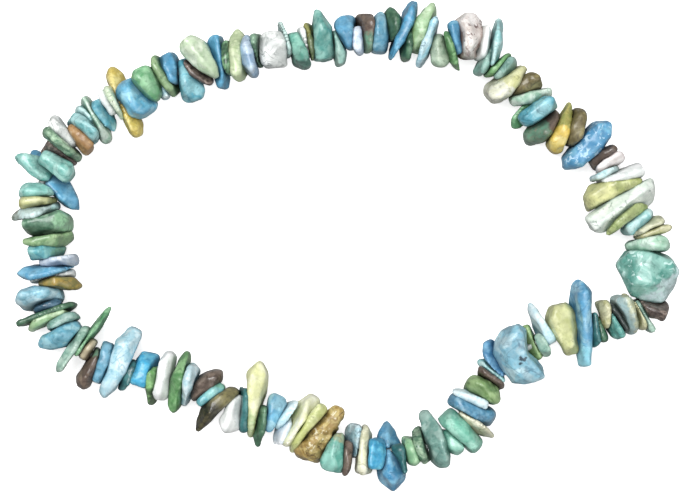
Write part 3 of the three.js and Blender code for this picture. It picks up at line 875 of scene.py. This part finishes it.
@dataclass
class Stringing:
    """The chips in the frame, and the stone that each one is.

    Attributes:
        thread: The thread that carries them.
        large: Stones of the large chips, in the direction of the thread.
        runs: Stones of the small chips on each run of thread, in the same direction.
        skin: How far from the thread's centre its own faces can lie.
        bore: How far from the thread's centre the wall of a large chip's hole can lie.
        least: Fewest faces of a chip.
        weld: How close together two corners are one.
        lengthwise: How far along the thread its own faces can look, as a cosine.
    """

    thread: Thread
    large: str = LARGE
    runs: dict[str, str] = field(default_factory=RUNS.copy)
    skin: float = 0.46 * MM
    bore: float = 0.72 * MM
    least: int = 12
    weld: float = 0.001 * MM
    lengthwise: float = 0.5

    def chips(self) -> Iterator[RoughChip]:
        """Gives every chip, large ones first.

        Yields:
            Each rough chip.
        """
        names = sorted(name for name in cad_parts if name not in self.runs)
        for name, stone in zip(names, self.large.split(), strict=True):
            shape = self._solid(name)
            bore = [v.co for v in shape.verts if self.thread.station(v.co)[1] < self.bore]
            hole = self.thread.station(sum(bore, Vector()) / len(bore))[0]
            yield RoughChip(f"stone_{name}", stone, self._mesh(shape, name), hole)
        for run, stones in self.runs.items():
            yield from self._cut(run, stones.split())

    def _solid(self, node: str) -> Shape:
        """Reads a solid of the frame.

        Args:
            node: Its node.

        Returns:
            The solid, with the corners of its faces joined.
        """
        shape = bmesh.new()
        shape.from_mesh(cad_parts[node].data)
        bmesh.ops.remove_doubles(shape, verts=shape.verts, dist=self.weld)
        return shape

    def _mesh(self, shape: Shape, name: str) -> Mesh:
        """Writes a shape to a new mesh.

        Args:
            shape: The shape, which is freed.
            name: The mesh's name.

        Returns:
            The mesh.
        """
        mesh = bpy.data.meshes.new(name)
        shape.to_mesh(mesh)
        shape.free()
        return mesh

    def _is_thread(self, face: bmesh.types.BMFace) -> bool:
        """Tells whether a face is the thread's own: close round it and turned away from its line.

        Args:
            face: The face.

        Returns:
            Whether it is.
        """
        near = [self.thread.station(v.co) for v in face.verts]
        if any(away > self.skin for _, away in near):
            return False
        return abs(face.normal.dot(self.thread.onward(near[0][0]))) < self.lengthwise

    def _cut(self, run: str, stones: list[str]) -> Iterator[RoughChip]:
        """Cuts the chips off one run of thread.

        Args:
            run: The run's node.
            stones: Its chips' stones, in order.

        Yields:
            Each rough chip.
        """
        shape = self._solid(run)
        shape.normal_update()
        drawn = [f for f in shape.faces if self._is_thread(f)]
        bmesh.ops.delete(shape, geom=drawn, context="FACES")
        islands: list[tuple[int, list[bmesh.types.BMFace]]] = []
        waiting = dict.fromkeys(shape.faces)
        while waiting:
            group = [waiting.popitem()[0]]
            for face in group:
                for edge in face.edges:
                    for other in edge.link_faces:
                        if other in waiting:
                            del waiting[other]
                            group.append(other)
            if len(group) >= self.least:
                rims = [v.co for f in group for e in f.edges if e.is_boundary for v in e.verts]
                middle = sum(rims, Vector()) / max(1, len(rims))
                islands.append((self.thread.station(middle)[0], group))
        start = self._first(run)
        count = len(self.thread.places)
        islands.sort(key=lambda island: (island[0] - start) % count)
        log.info("%s: %d chips of %d", run, len(islands), len(stones))
        for number, ((hole, group), stone) in enumerate(zip(islands, stones), 1):
            chip = bmesh.new()
            copies = {v: chip.verts.new(v.co) for v in dict.fromkeys(v for f in group for v in f.verts)}
            for f in group:
                chip.faces.new([copies[v] for v in f.verts])
            close(chip)
            if any(e.is_boundary for e in chip.edges):
                log.info("%s chip %d is closed by its hull", run, number)
                chip = hull_of(chip)
            bmesh.ops.triangulate(chip, faces=chip.faces)
            name = f"{run}_chip_{number:02d}_{stone}"
            yield RoughChip(name, stone, self._mesh(chip, name), hole)
        shape.free()

    def _first(self, run: str) -> int:
        """Finds where a run's thread begins: the widest gap lies before it.

        Args:
            run: The run's node.

        Returns:
            Number of the place.
        """
        stations = sorted({self.thread.station(v.co)[0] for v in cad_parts[run].data.vertices})
        count = len(self.thread.places)
        before = stations[-1:] + stations[:-1]
        return max(((b - a) % count, b) for a, b in zip(before, stations))[1]


@dataclass
class Tumbler:
    """Knaps, rounds and polishes the rough chips.

    Attributes:
        thread: The thread that carries them.
        breaks: How many flat faces are broken off each chip.
        bite: How deep the deepest of them goes, as a share of the chip's mean size.
        nibble: How deep the shallowest goes, as a share of the deepest.
        kept: Least share of the chip that one leaves between middle and skin.
        wall: Least stone left between such a face and the drilled hole's middle.
        grit: Size of the finest facet left on the thickest chips.
        fine_grit: The same on the thinnest.
        fineness: That size as a share of a chip's thickness, between the two.
        sliver: Thickness under which a chip is a sliver.
        rounding: How many passes round the edges.
        sliver_rounding: The same on a sliver.
        swell: How far the skin grows, which closes the gap to the next chip.
        dent_depth: Depth of the dents.
        dent_size: Size of a dent.
        scallop_depth: Depth of the hollows left by chips broken off, with ridges between them.
        scallop_size: Size of such a hollow.
        scallop_level: Mean of the cell noise that they follow.
        seed: Which dents and hollows come up.
        luck: Gives each chip its broken faces, and its tone from dark to light.
    """

    thread: Thread
    breaks: int = 18
    bite: float = 0.3
    nibble: float = 0.5
    kept: float = 0.75
    wall: float = 0.9 * MM
    grit: float = 0.17 * MM
    fine_grit: float = 0.11 * MM
    fineness: float = 0.2
    sliver: float = 0.95 * MM
    rounding: int = 0
    sliver_rounding: int = 3
    swell: float = 0.14 * MM
    dent_depth: float = 0.1 * MM
    dent_size: float = 1.1 * MM
    scallop_depth: float = 0.35 * MM
    scallop_size: float = 2.3 * MM
    scallop_level: float = 0.45
    seed: float = 3.0
    luck: random.Random = field(default_factory=lambda: random.Random(7))
    graph: Graph = field(init=False)
    names: dict[str, str] = field(init=False)

    def __post_init__(self) -> None:
        """Builds the tumbling tree."""
        measures = {
            "Swell": self.swell,
            "Dent depth": self.dent_depth,
            "Dent size": self.dent_size,
            "Scallop depth": self.scallop_depth,
            "Scallop size": self.scallop_size,
            "Seed": self.seed,
        }
        inputs = {label: ("NodeSocketFloat", value) for label, value in measures.items()}
        inputs |= {"Rounding": ("NodeSocketInt", self.rounding), "Finish": ("NodeSocketMaterial", None)}
        self.graph, start, self.names = new_tree("tumbling", inputs)
        graph = self.graph
        place = graph.add("GeometryNodeInputPosition", {})
        soft = {"Value": place, "Iterations": given(start, "Rounding")}
        rounded = graph.add("GeometryNodeBlurAttribute", soft, data_type="FLOAT_VECTOR")
        moved = {"Geometry": given(start, "Geometry"), "Position": rounded}
        worn = graph.add("GeometryNodeSetPosition", moved)
        where = {"Vector": place, "W": given(start, "Seed")}
        dent = {**where, "Scale": 1.0 / given(start, "Dent size"), "Detail": 1.5}
        dents = (graph.add("ShaderNodeTexNoise", dent, noise_dimensions="4D") - 0.5) * 2.0
        hollow = {**where, "Scale": 1.0 / given(start, "Scallop size")}
        cells = graph.add("ShaderNodeTexVoronoi", hollow, voronoi_dimensions="4D")
        hollows = cells - self.scallop_level
        height = dents * given(start, "Dent depth") + hollows * given(start, "Scallop depth")
        height = height + given(start, "Swell")
        normal = graph.add("GeometryNodeInputNormal", {})
        reach = {"Vector": normal, "Scale": height}
        offset = graph.add("ShaderNodeVectorMath", reach, operation="SCALE")
        grown = graph.add("GeometryNodeSetPosition", {"Geometry": worn, "Offset": offset})
        axes = graph.add("ShaderNodeSeparateXYZ", {0: place})
        above = axes.sibling("Z").math("MAXIMUM", axes.sibling("Z"), 0.0)
        on_table = {"X": axes.sibling("X"), "Y": axes.sibling("Y"), "Z": above}
        level = graph.add("ShaderNodeCombineXYZ", on_table)
        laid = graph.add("GeometryNodeSetPosition", {"Geometry": grown, "Position": level})
        smooth = graph.add("GeometryNodeSetShadeSmooth", {"Geometry": laid})
        end_tree(start, smooth)

    def _knap(self, chip: RoughChip) -> float:
        """Breaks flat faces off a chip, clear of its drilled hole and less so at its tips.

        Args:
            chip: The rough chip, whose mesh is changed.

        Returns:
            The thickness of a slab with as much stone and skin.
        """
        onward = self.thread.onward(chip.hole)
        middle = self.thread.places[chip.hole]
        shape = bmesh.new()
        shape.from_mesh(chip.mesh)
        near = [v.co - middle for v in shape.verts if self.thread.station(v.co)[1] < self.wall]
        mouth = max((abs(offset.dot(onward)) for offset in near), default=0.0)
        tip = max((v.co - middle for v in shape.verts), key=lambda offset: offset.length)
        other = min((v.co - middle for v in shape.verts), key=tip.dot)
        tips = (tip.normalized(), other.normalized())
        deepest = self.bite * shape.calc_volume() ** (1 / 3)
        for _ in range(self.breaks):
            way = Vector([self.luck.gauss(0.0, 1.0) for _ in range(3)]).normalized()
            reach = max((v.co - middle).dot(way) for v in shape.verts)
            share = 1 - max(0.0, *(way.dot(end) for end in tips)) ** 2
            depth = reach - self.luck.uniform(self.nibble, 1.0) * deepest * share**2
            depth = max(depth, self.kept * reach, abs(way.dot(onward)) * mouth + self.wall)
            if depth >= reach:
                continue
            parts = shape.verts[:] + shape.edges[:] + shape.faces[:]
            spot = middle + way * depth
            bmesh.ops.bisect_plane(shape, geom=parts, plane_co=spot, plane_no=way, clear_outer=True)
            close(shape)
        if any(not e.is_manifold for e in shape.edges):
            log.info("%s is knapped from its hull", chip.name)
            shape = hull_of(shape)
        bmesh.ops.triangulate(shape, faces=shape.faces)
        thickness = 2 * shape.calc_volume() / sum(f.calc_area() for f in shape.faces)
        shape.to_mesh(chip.mesh)
        shape.free()
        return thickness

    def tumble(self, chip: RoughChip, stone: Stone, finish: Material) -> Object:
        """Makes the finished chip.

        Args:
            chip: The rough chip.
            stone: Its stone.
            finish: Its stone's material.

        Returns:
            The finished piece.
        """
        thickness = self._knap(chip)
        made = shown(chip.name, chip.mesh)
        cut = made.modifiers.new("grit", "REMESH")
        cut.mode = "VOXEL"
        cut.voxel_size = min(self.grit, max(self.fine_grit, self.fineness * thickness))
        work = made.modifiers.new("tumbling", "NODES")
        work.node_group = self.graph.tree
        work[self.names["Finish"]] = finish
        work[self.names["Dent depth"]] = max(self.dent_depth, stone.lumps)
        if thickness < self.sliver:
            work[self.names["Rounding"]] = self.sliver_rounding
        finished(made)
        self._mark(made.data, chip)
        return made

    def _mark(self, mesh: Mesh, chip: RoughChip) -> None:
        """Writes each point's place beside the chip's hole, in millimetres, and the chip's tone.

        Args:
            mesh: The finished chip's mesh.
            chip: The rough chip.
        """
        onward = self.thread.onward(chip.hole)
        sides = np.array([[-onward.y, onward.x, 0.0], list(onward)]) / MM
        spots = np.empty(len(mesh.vertices) * 3, dtype=np.float32)
        mesh.vertices.foreach_get("co", spots)
        beside = (spots.reshape(-1, 3) - np.array(self.thread.places[chip.hole])) @ sides.T
        tone = np.full((len(beside), 1), self.luck.uniform(-1.0, 1.0))
        layer = mesh.attributes.new(BESIDE, "FLOAT_VECTOR", "POINT")
        layer.data.foreach_set("vector", np.hstack([beside, tone]).astype(np.float32).ravel())


# ---- table, light and camera


@dataclass
class Studio:
    """The table, the soft light and the camera straight above.

    Attributes:
        reach: Half the table's side.
        lamp_height: Height of the soft box above the table.
        lamp_size: Its side.
        lamp_power: Its power.
        lamps: Each lamp's name, place along x and y, and size and power beside the soft box.
        sky: Strength of the light from all round.
        lens: The camera's focal length.
        sensor: Width of its sensor.
        view_width: What it sees across, at the height of the thread.
        centre: Where it looks.
    """

    reach: float = 3.0
    lamp_height: float = 0.5
    lamp_size: float = 0.35
    lamp_power: float = 3.3
    lamps: tuple[tuple[str, float, float, float, float], ...] = (
        ("soft_box", -0.12, 0.18, 1.0, 1.0),
        ("fill", 0.3, -0.2, 1.5, 0.5),
    )
    sky: float = 0.22
    lens: float = 100.0
    sensor: float = 36.0
    view_width: float = 74.8 * MM
    centre: Pair = (-0.604 * MM, -0.197 * MM)

    def table(self) -> None:
        """Makes the white table."""
        mesh = bpy.data.meshes.new("table_top")
        r = self.reach
        mesh.from_pydata([(-r, -r, 0), (r, -r, 0), (r, r, 0), (-r, r, 0)], [], [(0, 1, 2, 3)])
        top = shown("table_top", mesh)
        top.data.materials.append(TableWhite().material("table_white"))

    def light(self) -> None:
        """Sets the soft box, the fill and the light from all round."""
        for name, x, y, size, power in self.lamps:
            lamp = bpy.data.lights.new(name, "AREA")
            lamp.size = self.lamp_size * size
            lamp.energy = self.lamp_power * power
            made = shown(name, lamp)
            made.location = (x, y, self.lamp_height)
            made.rotation_euler = made.location.to_track_quat("Z", "Y").to_euler()
        world = bpy.data.worlds.new("studio")
        world.use_nodes = True
        backdrop = world.node_tree.nodes["Background"]
        backdrop.inputs["Color"].default_value = WHITE
        backdrop.inputs["Strength"].default_value = self.sky
        bpy.context.scene.world = world
        bpy.context.scene.view_settings.view_transform = "Standard"

    def camera(self, height: float) -> None:
        """Hangs the camera straight above.

        Args:
            height: Height of the plane that it is fitted to.
        """
        eye = bpy.data.cameras.new("camera")
        eye.lens = self.lens
        eye.sensor_width = self.sensor
        made = shown("camera", eye)
        made.location = (*self.centre, height + self.view_width * self.lens / self.sensor)
        bpy.context.scene.camera = made


def main() -> None:
    """Builds the bracelet and its studio."""
    logging.basicConfig(level=logging.INFO, format="%(name)s: %(message)s")
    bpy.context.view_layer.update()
    thread = Thread()
    studio = Studio()
    studio.camera(thread.height)
    finishes = {name: stone.material(f"{name}_stone") for name, stone in STONES.items()}
    tumbler = Tumbler(thread)
    for chip in Stringing(thread).chips():
        made = tumbler.tumble(chip, STONES[chip.stone], finishes[chip.stone])
        log.info("%s: %s, %d faces", made.name, chip.stone, len(made.data.polygons))
        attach(made, "root")
        if chip.name.startswith("stone_"):
            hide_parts(chip.name.removeprefix("stone_"))
    elastic = thread.build(Elastic().material("clear_elastic"))
    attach(elastic, "root")
    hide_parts(*Stringing(thread).runs)
    studio.table()
    studio.light()


if __name__ == "__main__":
    main()
